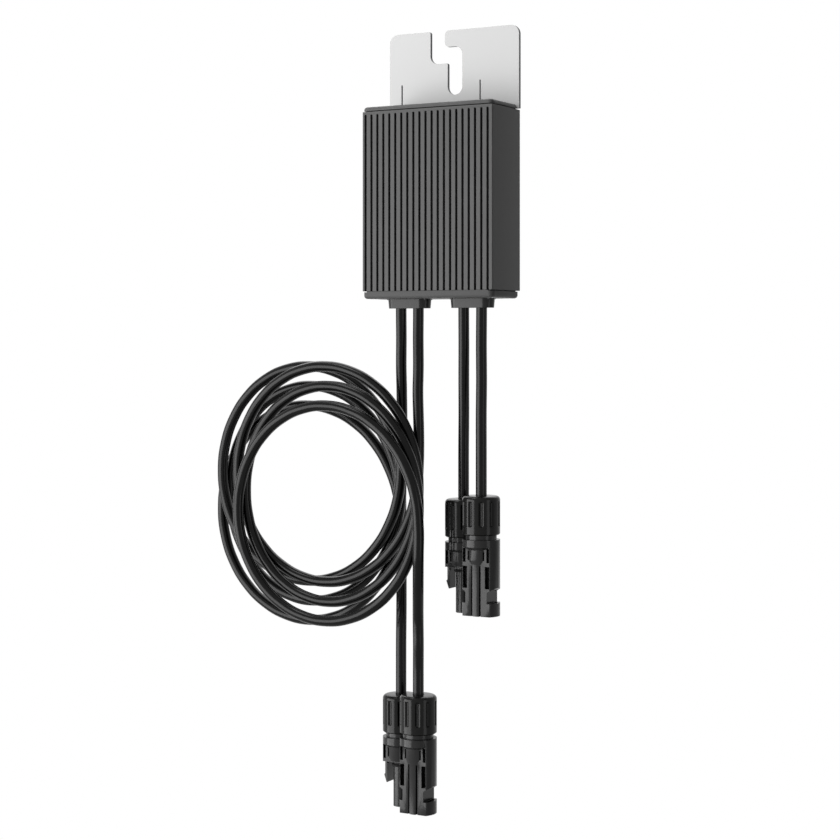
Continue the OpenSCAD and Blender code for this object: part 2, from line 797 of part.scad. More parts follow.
// Outline of a coil seen from the front: its turns side by side, and the upright run of its two leads
// side is 1 for a coil that steps to the back and -1 for one that steps to the front
module coil_outline(lead_x, side) {
    outer_w = coil_half_w + coil_ripple + cable_r + coil_room;
    outer_h = coil_half_h + cable_r + coil_room;
    hollow_r = min(coil_half_w - coil_ripple, coil_half_h) - cable_r - coil_room;
    lean = side * coil_lean * coil_step;
    turn_centres = [for (i = [0 : coil_turns - 1])
        [lead_x - lean * (i + 1) - coil_half_w, coil_z - coil_fall * (i + 0.5)]];
    first = turn_centres[0];
    last = turn_centres[coil_turns - 1];
    lead_ends = [lead_x - lean / 2, lead_x - lean * (coil_turns + 0.5)];
    difference() {
        for (c = turn_centres) translate(c) scale([outer_w / outer_h, 1]) circle(outer_h);
        intersection_for (c = [first, last]) translate(c) circle(hollow_r);
    }
    translate([min(lead_ends) - cable_r, lead_low])
        square([max(lead_ends) - min(lead_ends) + cable_d, lead_high - lead_low]);
}

module output_cable_left_coil() {
    color(jacket) in_frame() translate([0, cable_y + coil_gap + coil_depth, 0]) rotate([90, 0, 0])
        linear_extrude(coil_depth) coil_outline(output_xs[0], 1);
}

module output_cable_right_coil() {
    color(jacket) in_frame() translate([0, cable_y - coil_gap, 0]) rotate([90, 0, 0])
        linear_extrude(coil_depth) coil_outline(output_xs[1], -1);
}

// Fluted cap nut, hanging from its top at zero
module cap_nut() {
    flute_high = -nut_edge - flute_drop;
    thread_hole_r = thread_d / 2 + fit;
    color(moulding) difference() {
        rotate_extrude() {
            translate([0, -nut_len]) square([nut_d / 2, nut_len - nut_edge]);
            translate([0, -nut_len]) square([nut_d / 2 - nut_edge, nut_len]);
            translate([nut_d / 2 - nut_edge, -nut_edge]) circle(nut_edge);
        }
        translate([0, 0, -nut_top - cut]) cylinder(h = nut_top + 2 * cut, r = cable_hole_r);
        translate([0, 0, -nut_len - cut]) cylinder(h = nut_len - nut_top + cut, r = thread_hole_r);
        for (i = [0 : flute_count - 1]) rotate(flute_turn + 360 * i / flute_count)
            translate([nut_d / 2 + flute_w / 2 - flute_depth, 0, flute_high - flute_len])
                cylinder(h = flute_len, d = flute_w, $fn = 24);
    }
}

// Rubber seal that the cap nut presses round the cable
module cable_seal() {
    color(dark_rubber) difference() {
        union() {
            translate([0, 0, seal_low + fit]) cylinder(h = thread_top - seal_low - fit, r = seal_r);
            translate([0, 0, thread_top]) cylinder(h = -nut_top - thread_top, r = thread_d / 2);
        }
        translate([0, 0, seal_low]) cylinder(h = -seal_low, r = cable_hole_r);
    }
}

// Upper part that plugs and sockets share: threaded end, neck, collar with a cone, flat-sided body and boss
module connector_shoulder(body_low) {
    translate([0, 0, -nut_len]) cylinder(h = nut_len + thread_top, d = thread_d);
    translate([0, 0, neck_low]) cylinder(h = neck_len, d = neck_d);
    translate([0, 0, collar_low]) cylinder(h = collar_len, d = nut_d);
    translate([0, 0, collar_low - collar_cone]) cylinder(h = collar_cone, d1 = boss_d, d2 = nut_d);
    intersection() {
        translate([0, 0, body_low]) cylinder(h = neck_low - body_low, d = nut_d);
        translate([-nut_d / 2, -flat_d / 2, body_low]) cube([nut_d, flat_d, neck_low - body_low]);
    }
    translate([0, 0, boss_low + boss_cone]) cylinder(h = boss_len - boss_cone + cut, d = boss_d);
    translate([0, 0, boss_low]) cylinder(h = boss_cone, d1 = core_d, d2 = boss_d);
}

// Stepped hole for the seal, the cable and the contact, open down to a level
module contact_hole(low) {
    translate([0, 0, seal_low]) cylinder(h = thread_top - seal_low + cut, r = seal_r + fit);
    translate([0, 0, low]) cylinder(h = seal_low - low + cut, r = contact_hole_r);
}

// Narrow slits in both flats, below the collar
module shoulder_slits() {
    slit_low = collar_low - slit_drop - slit_long;
    for (sx = [-1, 1], sy = [-1, 1])
        translate([sx * slit_x - slit_wide / 2, sy * flat_d / 2 - slit_deep, slit_low])
            cube([slit_wide, 2 * slit_deep, slit_long]);
}

// Wedge on the outside of a latch arm, in the plane across the connector
module arm_outline() {
    polygon([[arm_x, slab_low + cut], [arm_x + arm_t, slab_low + cut], [arm_x + arm_t, barb_z + barb],
        [arm_x + arm_t + barb, barb_z], [arm_x + arm_t / 3, -arm_reach], [arm_x, -arm_reach]]);
}

module plug_body() {
    color(moulding) difference() {
        union() {
            connector_shoulder(slab_low);
            translate([0, 0, -plug_len]) cylinder(h = plug_len + boss_low + cut, d = tube_d);
            for (s = [0, 1]) mirror([s, 0, 0]) translate([0, arm_w / 2, 0]) rotate([90, 0, 0])
                linear_extrude(arm_w) arm_outline();
        }
        contact_hole(-plug_len - cut);
        shoulder_slits();
        rotate_extrude() translate([ring_path_r, ring_z]) circle(ring_r);
    }
}

module socket_body() {
    color(moulding) difference() {
        union() {
            connector_shoulder(-socket_len);
            translate([0, 0, -socket_len]) cylinder(h = socket_len + boss_low + cut, d = core_d);
        }
        contact_hole(mouth_high - cut);
        translate([0, 0, -socket_len - cut]) cylinder(h = mouth_depth + cut, d = mouth_d);
        shoulder_slits();
        socket_windows();
        for (s = [0, 1]) mirror([s, 0, 0]) {
            translate([channel_x, -channel_deep / 2, -socket_len - cut])
                cube([channel_wide, channel_deep, socket_len + window_high + cut]);
            translate([0, nut_d / 2, 0]) rotate([90, 0, 0]) linear_extrude(nut_d) notch_outline();
        }
    }
}

// Windows in both flats that show the latch arms of the other half
module socket_windows() {
    window_deep = (flat_d - channel_deep) / 2 + cut;
    for (sx = [-1, 1], s = [0, 1]) mirror([0, s, 0])
        translate([sx * window_x - window_wide / 2, flat_d / 2 - window_deep, window_low])
            cube([window_wide, window_deep + cut, window_high - window_low]);
}

// Side notch that the latch arms snap into, with a sloped upper end
module notch_outline() {
    outside = nut_d / 2 + cut;
    slope_high = notch_high + notch_slope;
    polygon([[notch_x, notch_low], [outside, notch_low], [outside, slope_high], [nut_d / 2, slope_high],
        [notch_x + notch_slope / 2, notch_high], [notch_x, notch_high - notch_lead]]);
}

// Crimped part of a contact, which takes the end of the cable
module crimp() {
    translate([0, 0, crimp_low]) cylinder(h = -cable_in - crimp_low, r = crimp_r);
    translate([0, 0, crimp_low + crimp_ring_rise]) cylinder(h = crimp_ring_h, r = contact_r);
}

module plug_pin() {
    color(tin) {
        crimp();
        translate([0, 0, pin_low]) cylinder(h = crimp_low - pin_low, r = pin_r);
        translate([0, 0, pin_low]) sphere(pin_r);
    }
}

module plug_ring() {
    color(dark_rubber) rotate_extrude() translate([ring_path_r, ring_z]) circle(ring_r);
}

module socket_contact() {
    sleeve_len = crimp_low - socket_contact_low;
    color(tin) {
        crimp();
        difference() {
            translate([0, 0, socket_contact_low]) cylinder(h = sleeve_len, r = contact_r);
            translate([0, 0, socket_contact_low - cut])
                cylinder(h = sleeve_len - contact_floor + cut, r = pin_r + screw_fit);
        }
    }
}

module input_plug_nut() { in_frame() translate(input_plug_at) cap_nut(); }
module input_plug_body() { in_frame() translate(input_plug_at) plug_body(); }
module input_plug_seal() { in_frame() translate(input_plug_at) cable_seal(); }
module input_plug_pin() { in_frame() translate(input_plug_at) plug_pin(); }
module input_plug_ring() { in_frame() translate(input_plug_at) plug_ring(); }
module input_socket_nut() { in_frame() translate(input_socket_at) cap_nut(); }
module input_socket_body() { in_frame() translate(input_socket_at) socket_body(); }
module input_socket_seal() { in_frame() translate(input_socket_at) cable_seal(); }
module input_socket_contact() { in_frame() translate(input_socket_at) socket_contact(); }
module output_plug_nut() { in_frame() translate(output_plug_at) cap_nut(); }
module output_plug_body() { in_frame() translate(output_plug_at) plug_body(); }
module output_plug_seal() { in_frame() translate(output_plug_at) cable_seal(); }
module output_plug_pin() { in_frame() translate(output_plug_at) plug_pin(); }
module output_plug_ring() { in_frame() translate(output_plug_at) plug_ring(); }
module output_socket_nut() { in_frame() translate(output_socket_at) cap_nut(); }
module output_socket_body() { in_frame() translate(output_socket_at) socket_body(); }
module output_socket_seal() { in_frame() translate(output_socket_at) cable_seal(); }
module output_socket_contact() { in_frame() translate(output_socket_at) socket_contact(); }

housing();
top_cap();
bottom_cap();
top_gasket();
bottom_gasket();
top_cap_screws();
bottom_cap_screws();
mounting_bracket();
bracket_screws();
circuit_board();
board_screws();
inductor_core();
inductor_winding();
capacitors();
power_transistors();
control_chip();
thermal_pad();
cable_terminals();
input_gland();
output_gland();
input_cable_left();
input_cable_right();
output_cable_left_upper();
output_cable_left_coil();
output_cable_left_lower();
output_cable_right_upper();
output_cable_right_coil();
output_cable_right_lower();
input_plug_nut();
input_plug_body();
input_plug_seal();
input_plug_pin();
input_plug_ring();
input_socket_nut();
input_socket_body();
input_socket_seal();
input_socket_contact();
output_plug_nut();
output_plug_body();
output_plug_seal();
output_plug_pin();
output_plug_ring();
output_socket_nut();
output_socket_body();
output_socket_seal();
output_socket_contact();
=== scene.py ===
import math

import bmesh
import bpy
from mathutils import Matrix, Vector


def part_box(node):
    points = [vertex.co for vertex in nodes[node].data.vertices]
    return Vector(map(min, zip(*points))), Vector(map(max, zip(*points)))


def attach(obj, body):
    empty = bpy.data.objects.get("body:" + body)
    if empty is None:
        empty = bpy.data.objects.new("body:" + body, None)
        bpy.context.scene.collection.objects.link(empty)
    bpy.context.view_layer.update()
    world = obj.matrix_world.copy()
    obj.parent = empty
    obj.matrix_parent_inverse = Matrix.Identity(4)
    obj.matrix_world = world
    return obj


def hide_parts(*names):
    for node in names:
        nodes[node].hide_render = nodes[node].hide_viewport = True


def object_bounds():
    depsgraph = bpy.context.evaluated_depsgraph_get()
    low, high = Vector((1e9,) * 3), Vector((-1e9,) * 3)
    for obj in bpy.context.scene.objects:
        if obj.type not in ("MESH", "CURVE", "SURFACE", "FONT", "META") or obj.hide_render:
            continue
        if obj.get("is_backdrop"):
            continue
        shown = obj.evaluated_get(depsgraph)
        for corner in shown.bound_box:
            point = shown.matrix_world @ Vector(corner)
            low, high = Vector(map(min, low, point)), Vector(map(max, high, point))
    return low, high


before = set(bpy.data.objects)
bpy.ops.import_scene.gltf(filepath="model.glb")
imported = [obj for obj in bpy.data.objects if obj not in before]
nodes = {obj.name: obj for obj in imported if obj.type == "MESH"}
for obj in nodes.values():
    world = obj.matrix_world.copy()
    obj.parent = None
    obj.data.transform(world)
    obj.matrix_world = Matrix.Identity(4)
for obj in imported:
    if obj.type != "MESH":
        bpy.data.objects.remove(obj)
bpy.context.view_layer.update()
scene = bpy.context.scene
mm = 0.001
maths = "ShaderNodeMath"  # the kind of most nodes below
boltSeat = Vector((1.0, 30.8, 122.6))  # the frame's origin, from the middle of the housing's lower front edge
print("frame loaded:", len(nodes), "nodes")


def fromHousing(x, y, z):
    return (Vector((x, y, z)) - boltSeat) * mm  # housing millimetres to the shared frame in metres


def linear(hexColour):  # along the sRGB curve
    parts = [int(hexColour[i:i + 2], 16) / 255 for i in (1, 3, 5)]
    return [c / 12.92 if c <= 0.04045 else ((c + 0.055) / 1.055) ** 2.4 for c in parts] + [1.0]


def addNode(tree, kind, values=None, links=None, **settings):
    node = tree.nodes.new(kind)
    for name, value in settings.items():
        setattr(node, name, value)
    for name, value in (values or {}).items():
        node.inputs[name].default_value = value
    for name, source in (links or {}).items():
        tree.links.new(source, node.inputs[name])
    return node


def addObject(name, data):
    thing = bpy.data.objects.new(name, data)
    scene.collection.objects.link(thing)
    return thing


def addPiece(name, data, material, slot, *replaced):
    piece = addObject(name, data)
    data.materials.clear()
    data.materials.append(material)
    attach(piece, "root")
    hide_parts(*replaced)
    return piece


def meshFrom(shape, name):
    mesh = bpy.data.meshes.new(name)
    shape.to_mesh(mesh)
    shape.free()
    return mesh


def finishedMesh(helper, name):
    mesh = bpy.data.meshes.new_from_object(helper.evaluated_get(bpy.context.evaluated_depsgraph_get()))
    bpy.data.objects.remove(helper)
    mesh.name = name
    return mesh


# camera: level, a little below the housing, turned to show its right side
photoCamera = {"place": (473.45, -884.4, -148.8), "turn": 29.249, "lens": 83.02, "shiftY": -0.0924,
               "clip": (0.01, 20.0)}

cameraData = bpy.data.cameras.new("photoCamera")
cameraData.lens, cameraData.shift_y = photoCamera["lens"], photoCamera["shiftY"]
cameraData.clip_start, cameraData.clip_end = photoCamera["clip"]
camera = addObject("photoCamera", cameraData)
camera.location = Vector(photoCamera["place"]) * mm
camera.rotation_euler = (math.radians(90), 0.0, math.radians(photoCamera["turn"]))
scene.camera = camera
scene.view_settings.view_transform = "Standard"
print("camera set")

# finishes without a direction: a mottled colour between two hexes, a roughness band and a fine relief
# patch, grain and relief are in mm, and grain that is too fine to show is drawn coarser than it is
finishes = {
    # powder coated aluminium: sprayed and baked, a fine orange peel that breaks up the light, satin dark grey
    "powderCoatedAluminium": {"dark": "#525252", "light": "#595959", "patch": 14.0, "rough": (0.38, 0.44),
                              "grain": 0.8, "relief": 0.02, "specular": 0.085},
    # coated die casting: the same paint on the bottom cap with less sheen, its colour a little darker as
    # painted shade where the bottom of the part falls in shade
    "castingWithPaintedShade": {"dark": "#4d4d4d", "light": "#535353", "patch": 12.0, "rough": (0.36, 0.42),
                      "grain": 0.8, "relief": 0.02, "specular": 0.05},
    # glass filled nylon: moulded with a fine spark texture, satin and a little uneven
    "mouldedNylon": {"dark": "#1c1c1c", "light": "#222222", "patch": 6.0, "rough": (0.22, 0.26),
                     "grain": 0.6, "relief": 0.01, "specular": 0.15},
    # polyphenylene ether: moulded smooth, near black with a tight sheen and faint flow marks
    "mouldedPolyphenylene": {"dark": "#131313", "light": "#191918", "patch": 5.0, "rough": (0.15, 0.19),
                             "grain": 0.8, "relief": 0.01, "specular": 0.12},
    # polyphenylene ether: moulded with an etched texture, satin and a little paler than the smooth mouldings
    "texturedPolyphenylene": {"dark": "#252525", "light": "#2b2b2b", "patch": 5.0, "rough": (0.17, 0.21),
                              "grain": 0.5, "relief": 0.01, "specular": 0.14},
    # cross-linked polyolefin: extruded over the wire, near black with a soft sheen
    "extrudedPolyolefin": {"dark": "#090909", "light": "#0d0d0d", "patch": 9.0, "rough": (0.2, 0.24),
                           "grain": 1.2, "relief": 0.005, "specular": 0.13},
    # EPDM rubber: die cut or moulded, dead matt black
    "epdmRubber": {"dark": "#0d0d0d", "light": "#151515", "patch": 4.0, "rough": (0.7, 0.85),
                   "grain": 0.5, "relief": 0.04, "specular": 0.15},
    # glass epoxy board: green solder mask over copper, slightly cloudy
    "glassEpoxyBoard": {"dark": "#12452a", "light": "#1d5c38", "patch": 5.0, "rough": (0.35, 0.5),
                        "grain": 1.0, "relief": 0.03, "specular": 0.4},
    # sintered ferrite: ground faces, dark grey and dull
    "sinteredFerrite": {"dark": "#303033", "light": "#3b3b3f", "patch": 3.0, "rough": (0.6, 0.75),
                        "grain": 0.4, "relief": 0.05, "specular": 0.3},
    # filled silicone pad: soft, pale blue-grey with specks
    "filledSilicone": {"dark": "#8a929c", "light": "#a3aab2", "patch": 1.5, "rough": (0.7, 0.8),
                       "grain": 0.5, "relief": 0.06, "specular": 0.3},
    # shrink film on the capacitors: thin and dark blue
    "shrinkFilm": {"dark": "#1c2746", "light": "#25345c", "patch": 4.0, "rough": (0.3, 0.4),
                   "grain": 1.0, "relief": 0.03, "specular": 0.4},
    # epoxy chip moulding: black, slightly rough from the mould
    "epoxyMoulding": {"dark": "#161616", "light": "#212121", "patch": 2.0, "rough": (0.5, 0.65),
                      "grain": 0.4, "relief": 0.05, "specular": 0.3},
}
# metals: a colour between two hexes, a roughness band and a grain, with its size along x, y and z in mm
metals = {
    # stainless sheet: cold rolled, pale and matt with a fine upright grain
    "rolledStainless": {"dark": "#aeaeae", "light": "#b5b5b5", "rough": (0.8, 0.86),
                        "line": (0.5, 0.5, 24.0), "relief": 0.01},
    # cut edge of the sheet: dull from the shear, with its dark colour painted shade on the faces that stand
    # across the sheet
    "shadedCutEdge": {"dark": "#4c4c4d", "light": "#58585a", "rough": (0.6, 0.7),
                         "line": (0.3, 0.3, 0.3), "relief": 0.02},
    # zinc plated steel: bright but hazy turned screw heads
    "zincPlatedSteel": {"dark": "#a3a6a8", "light": "#b9bcbe", "rough": (0.3, 0.42),
                        "line": (0.6, 0.6, 0.6), "relief": 0.01},
    # tinned copper: soft white metal, a little uneven from the bath
    "tinnedCopper": {"dark": "#b5b3ad", "light": "#c9c7c1", "rough": (0.28, 0.4),
                     "line": (1.5, 1.5, 3.0), "relief": 0.01},
    # enamelled copper wire: layers of round wire, warm and glossy
    "enamelledCopper": {"dark": "#8c4a22", "light": "#b5662f", "rough": (0.25, 0.35),
                        "line": (9.0, 0.8, 9.0), "relief": 0.15},
}
pattern = {"cloudDetail": 3.0, "grainDetail": 2.0, "mottledBump": 0.5, "metalBump": 0.4}


def newMaterial(name):
    material = bpy.data.materials.new(name)
    material.use_nodes = True
    return material, material.node_tree, material.node_tree.nodes["Principled BSDF"]


def spreadLook(tree, shader, look, mottle, height, bump):
    colour = addNode(tree, "ShaderNodeMix", {6: linear(look["dark"]), 7: linear(look["light"])},
                     {0: mottle}, data_type="RGBA")  # sockets 6 and 7 are the two colours
    band = addNode(tree, "ShaderNodeMapRange", {"To Min": look["rough"][0], "To Max": look["rough"][1]},
                   {"Value": mottle})
    relief = addNode(tree, "ShaderNodeBump", {"Strength": bump, "Distance": look["relief"] * mm},
                     {"Height": height})
    tree.links.new(colour.outputs[2], shader.inputs["Base Color"])
    tree.links.new(band.outputs[0], shader.inputs["Roughness"])
    tree.links.new(relief.outputs[0], shader.inputs["Normal"])


def mottledFinish(name):
    look = finishes[name]
    material, tree, shader = newMaterial(name)
    place = addNode(tree, "ShaderNodeTexCoord").outputs["Object"]
    cloud = addNode(tree, "ShaderNodeTexNoise",
                    {"Scale": 1 / (look["patch"] * mm), "Detail": pattern["cloudDetail"]}, {"Vector": place})
    grain = addNode(tree, "ShaderNodeTexNoise",
                    {"Scale": 1 / (look["grain"] * mm), "Detail": pattern["grainDetail"]}, {"Vector": place})
    spreadLook(tree, shader, look, cloud.outputs[0], grain.outputs[0], pattern["mottledBump"])
    shader.inputs["Specular IOR Level"].default_value = look["specular"]
    return material


def metalFinish(name):
    look = metals[name]
    material, tree, shader = newMaterial(name)
    place = addNode(tree, "ShaderNodeTexCoord").outputs["Object"]
    stretch = addNode(tree, "ShaderNodeMapping", {"Scale": [1 / (size * mm) for size in look["line"]]},
                      {"Vector": place})
    lines = addNode(tree, "ShaderNodeTexNoise", {"Scale": 1.0, "Detail": pattern["grainDetail"]},
                    {"Vector": stretch.outputs[0]})
    spreadLook(tree, shader, look, lines.outputs[0], lines.outputs[0], pattern["metalBump"])
    shader.inputs["Metallic"].default_value = 1.0
    return material


finish = {name: mottledFinish(name) for name in finishes}
finish.update({name: metalFinish(name) for name in metals})
print("materials made:", len(finish))

# cables: points in mm from the housing, down from the clamp inside it to the contact in the connector
cable = {"diameter": 5.6, "depth": 15.5, "exitZ": -8.7, "roundness": 6, "steps": 8}
coil = {"halfWidth": 54.8, "halfHeight": 59.5, "ripple": 1.25, "turns": 3, "pointsPerTurn": 24,
        "fall": 10.4, "step": 6.0, "gap": 0.1, "z": -90.6, "stepsFrom": (474.4, -853.6, -26.2)}
inputLeft = [(13.2, 15.5, 6), (13.2, 15.5, -12), (12.8, 16.4, -28), (12, 17.8, -45),
             (11.1, 19.6, -62), (10.2, 21, -82), (10.2, 21, -96), (10.2, 21, -122)]
inputRight = [(23.4, 15.5, 6), (23.4, 15.5, -12), (23.8, 14.5, -28), (24.8, 12.8, -45),
              (25.7, 10.7, -62), (26.6, 9, -80), (26.6, 9, -94), (26.6, 9, -119)]
leftUpper = [(-23.4, 15.5, 6), (-23.4, 15.5, -12), (-23.8, 16.4, -24), (-24.8, 18, -38),
             (-24.8, 18.5, -50)]
leftLower = [(-34.6, 35.6, -134), (-32.3, 31.4, -150), (-28.8, 25.2, -166), (-27.6, 22.8, -180),
             (-26.6, 21, -195), (-26.6, 21, -210), (-26.6, 21, -225)]
rightUpper = [(-13.2, 15.5, 6), (-13.2, 15.5, -12), (-12.8, 14.6, -24), (-11.8, 13, -38),
              (-11.8, 12.5, -50)]
rightLower = [(-2, -4.6, -134), (-4.3, -0.6, -150), (-7.8, 5.6, -166), (-8.6, 7.3, -180),
              (-9.6, 9, -194), (-9.6, 9, -208), (-9.6, 9, -222)]


def coilTurns(leadX, side):
    points = []
    far = Vector(coil["stepsFrom"])  # the camera's place, so a step in depth doesn't shift a turn in view
    for k in range(coil["turns"] * coil["pointsPerTurn"] + 1):
        turn = k / coil["pointsPerTurn"]
        angle = 2 * math.pi * turn
        halfWidth = coil["halfWidth"] + coil["ripple"] * math.sin(math.pi * turn)
        flat = Vector((leadX - halfWidth * (1 - math.cos(angle)), cable["depth"],
                       coil["z"] - coil["fall"] * turn - coil["halfHeight"] * math.sin(angle)))
        away = side * (coil["gap"] + cable["diameter"] / 2 + coil["step"] * turn)
        points.append(tuple(flat + (flat - far) * away / (flat.y - far.y)))
    return points


def finer(route):
    points = [Vector(p) for p in route]
    ends = [points[0], *points, points[-1]]
    result = []
    for k in range(len(points) - 1):
        a, b, c, d = ends[k:k + 4]
        result += [b, (9 * (b + c) - a - d) / 16]  # the middle of the smooth curve through the four points
    return [tuple(p) for p in result + points[-1:]]


def outputRoute(upper, lower, side):
    return finer(upper) + coilTurns(upper[0][0], side) + finer(lower)


def layCable(name, route, replaced):
    data = bpy.data.curves.new(name, "CURVE")
    data.dimensions, data.resolution_u = "3D", cable["steps"]
    data.bevel_depth, data.bevel_resolution = cable["diameter"] / 2 * mm, cable["roundness"]
    data.use_fill_caps = True
    spline = data.splines.new("BEZIER")
    spline.bezier_points.add(len(route) - 1)
    places = [fromHousing(*p) for p in route]
    for point, place in zip(spline.bezier_points, places):
        point.co = place
        point.handle_left_type = point.handle_right_type = "AUTO"
    piece = addPiece(name, data, finish["extrudedPolyolefin"], "cable_jacket", *replaced)


layCable("inputCableLeft", finer(inputLeft), ["input_cable_left"])
layCable("inputCableRight", finer(inputRight), ["input_cable_right"])
layCable("outputCableLeft", outputRoute(leftUpper, leftLower, 1),
         ["output_cable_left_upper", "output_cable_left_coil", "output_cable_left_lower"])
layCable("outputCableRight", outputRoute(rightUpper, rightLower, -1),
         ["output_cable_right_upper", "output_cable_right_coil", "output_cable_right_lower"])

# rigid pieces: copies of the frame's solids with their edges broken
# each gives its node, its finish, its slot and the width of its broken edges in mm
dressed = {
    "housingShell": ("housing", "powderCoatedAluminium", "painted_aluminium", 0.22),
    "topEndCap": ("top_cap", "powderCoatedAluminium", "painted_aluminium", 0.12),
    # the bottom cap takes the same paint made darker, which is painted shade
    "bottomEndCap": ("bottom_cap", "castingWithPaintedShade", "painted_aluminium", 0.12),
    "hookPlate": ("mounting_bracket", "rolledStainless", "bracket_steel", 0.2),
    "inputGlandBlock": ("input_gland", "mouldedNylon", "gland_moulding", 0.3),
    "outputGlandBlock": ("output_gland", "mouldedNylon", "gland_moulding", 0.3),
    "inputPlugShell": ("input_plug_body", "texturedPolyphenylene", "connector_moulding", 0.15),
    "inputSocketShell": ("input_socket_body", "texturedPolyphenylene", "connector_moulding", 0.15),
    "outputPlugShell": ("output_plug_body", "texturedPolyphenylene", "connector_moulding", 0.15),
    "outputSocketShell": ("output_socket_body", "texturedPolyphenylene", "connector_moulding", 0.15),
}
# merge in mm, angles in degrees, split is the most corners of a whole face
# cutLean is how far the face of a sheet's cut edge may lean towards its flat side and still take the painted
# shade
edge = {"merge": 0.002, "flat": 0.4, "split": 40, "sharp": 28.0, "smooth": 32.0, "segments": 2,
        "cutLean": 0.3}
connectorPlaces = {"input_plug": (10.2, 21, -106), "input_socket": (26.6, 9, -103),
                   "output_plug": (-26.6, 21, -209), "output_socket": (-9.6, 9, -206)}
# grooves in a connector's flats that set off its boss and its core, in mm
# boss and core give the distance from the axis, the low end and the high end
grooves = {"flat": 5.8, "depth": 1.2, "width": 0.8,
           "boss": (4.3, -32.0, -27.2), "core": (2.25, -60.5, -34.8)}


def grooveCutter(connector):
    runs = [grooves["boss"]]
    if connector.endswith("socket"):
        runs.append(grooves["core"])
    shape = bmesh.new()
    for x, low, high in runs:
        size = Vector((grooves["width"], 2 * grooves["depth"], high - low)) * mm
        for side in (-1, 1):
            for front in (-1, 1):
                offset = Vector((side * x, front * grooves["flat"], (low + high) / 2))
                middle = fromHousing(*(Vector(connectorPlaces[connector]) + offset))
                bmesh.ops.create_cube(shape, size=1.0, matrix=Matrix.LocRotScale(middle, None, size))
    return addObject(connector + "Grooves", meshFrom(shape, connector + "Grooves"))


def brokenEdges(name, node, width):
    mesh = nodes[node].data.copy()
    shape = bmesh.new()
    shape.from_mesh(mesh)
    bmesh.ops.remove_doubles(shape, verts=shape.verts, dist=edge["merge"] * mm)
    bmesh.ops.dissolve_limit(shape, angle_limit=math.radians(edge["flat"]),
                             verts=shape.verts, edges=shape.edges)
    if node.endswith("_cap"):  # a cap's large faces run round many holes and fold over if they stay whole
        large = [face for face in shape.faces if len(face.verts) > edge["split"]]
        bmesh.ops.triangulate(shape, faces=large)
    shape.to_mesh(mesh)
    shape.free()
    mesh.shade_smooth()
    mesh.set_sharp_from_angle(angle=math.radians(edge["smooth"]))
    helper = addObject(name + "Helper", mesh)
    if node.endswith("_body"):
        cut = helper.modifiers.new("grooves", "BOOLEAN")
        cut.operation, cut.solver = "DIFFERENCE", "EXACT"
        cut.object = cutter = grooveCutter(node.removesuffix("_body"))
    bevel = helper.modifiers.new("edges", "BEVEL")
    bevel.width, bevel.segments = width * mm, edge["segments"]
    bevel.limit_method, bevel.angle_limit = "ANGLE", math.radians(edge["sharp"])
    bevel.use_clamp_overlap = bevel.harden_normals = True
    result = finishedMesh(helper, name)
    if node.endswith("_body"):
        bpy.data.objects.remove(cutter)
    return result


connectorPieces = {}
for name, (node, material, slot, width) in dressed.items():
    piece = addPiece(name, brokenEdges(name, node, width), finish[material], slot, node)
    if node.endswith("_body"):
        connectorPieces[node.removesuffix("_body")] = [piece]
    if node == "mounting_bracket":
        piece.data.materials.append(finish["shadedCutEdge"])
        for face in piece.data.polygons:  # the cut edges stand across the sheet and take the painted shade
            face.material_index = 1 if abs(face.normal.y) < edge["cutLean"] else 0
print("solids dressed:", len(dressed))


def startTree(name, sockets):
    tree = bpy.data.node_groups.new(name, "GeometryNodeTree")
    for label, kind in sockets.items():
        tree.interface.new_socket(label, in_out="INPUT", socket_type="NodeSocket" + kind)
    tree.interface.new_socket("Geometry", in_out="OUTPUT", socket_type="NodeSocketGeometry")
    return tree, addNode(tree, "NodeGroupInput").outputs


def endTree(tree, geometry, material):
    real = addNode(tree, "GeometryNodeRealizeInstances", links={0: geometry})
    painted = addNode(tree, "GeometryNodeSetMaterial",
                      links={"Geometry": real.outputs[0], "Material": material})
    addNode(tree, "NodeGroupOutput", links={"Geometry": painted.outputs[0]})


def bakeTree(name, points, tree, inputs):
    mesh = bpy.data.meshes.new(name + "Points")
    mesh.from_pydata([Vector(p) for p in points], [], [])
    helper = addObject(name + "Helper", mesh)
    modifier = helper.modifiers.new("build", "NODES")
    modifier.node_group = tree
    for item in tree.interface.items_tree:
        if item.in_out == "INPUT" and item.name in inputs:
            modifier[item.identifier] = inputs[item.name]
    result = finishedMesh(helper, name)
    shape = bmesh.new()
    shape.from_mesh(result)
    bmesh.ops.recalc_face_normals(shape, faces=shape.faces)
    shape.to_mesh(result)
    shape.free()
    result.shade_smooth()
    result.set_sharp_from_angle(angle=math.radians(edge["smooth"]))
    return result


# cap nuts: a turned profile swept round the axis, with grip flutes pressed into its wall
# sizes in mm, fluteWidth, fluteTurn and edgeStep in degrees, and flutes are pressed only outside wallRadius
capNut = {"radius": 9.5, "length": 19.4, "topEdge": 2.0, "edgeStep": 10, "topThickness": 2.2, "bore": 3.0,
          "thread": 7.2, "lowEdge": 0.5, "rowStep": 0.4, "columns": 240, "weld": 0.001, "wallRadius": 7.7,
          "fluteCount": 10, "fluteWidth": 14.5, "fluteDepth": 1.0, "fluteHigh": -2.4, "fluteLow": -15.4,
          "fluteRun": 0.8, "fluteTurn": 8.4}


def nutProfile():
    radius, low, bore, thread = capNut["radius"], -capNut["length"], capNut["bore"], capNut["thread"]
    topEdge, lowEdge, inner = capNut["topEdge"], capNut["lowEdge"], -capNut["topThickness"]
    points = [(bore, 0.0)]
    for degrees in range(0, 90 + 1, capNut["edgeStep"]):
        angle = math.radians(degrees)
        points.append((radius - topEdge + topEdge * math.sin(angle), topEdge * math.cos(angle) - topEdge))
    rows = int((capNut["length"] - topEdge - lowEdge) / capNut["rowStep"])
    points += [(radius, -topEdge - (k + 1) * capNut["rowStep"]) for k in range(rows)]
    points += [(radius, low + lowEdge), (radius - lowEdge, low), (thread, low), (thread, inner),
               (bore, inner), (bore, 0.0)]
    return points


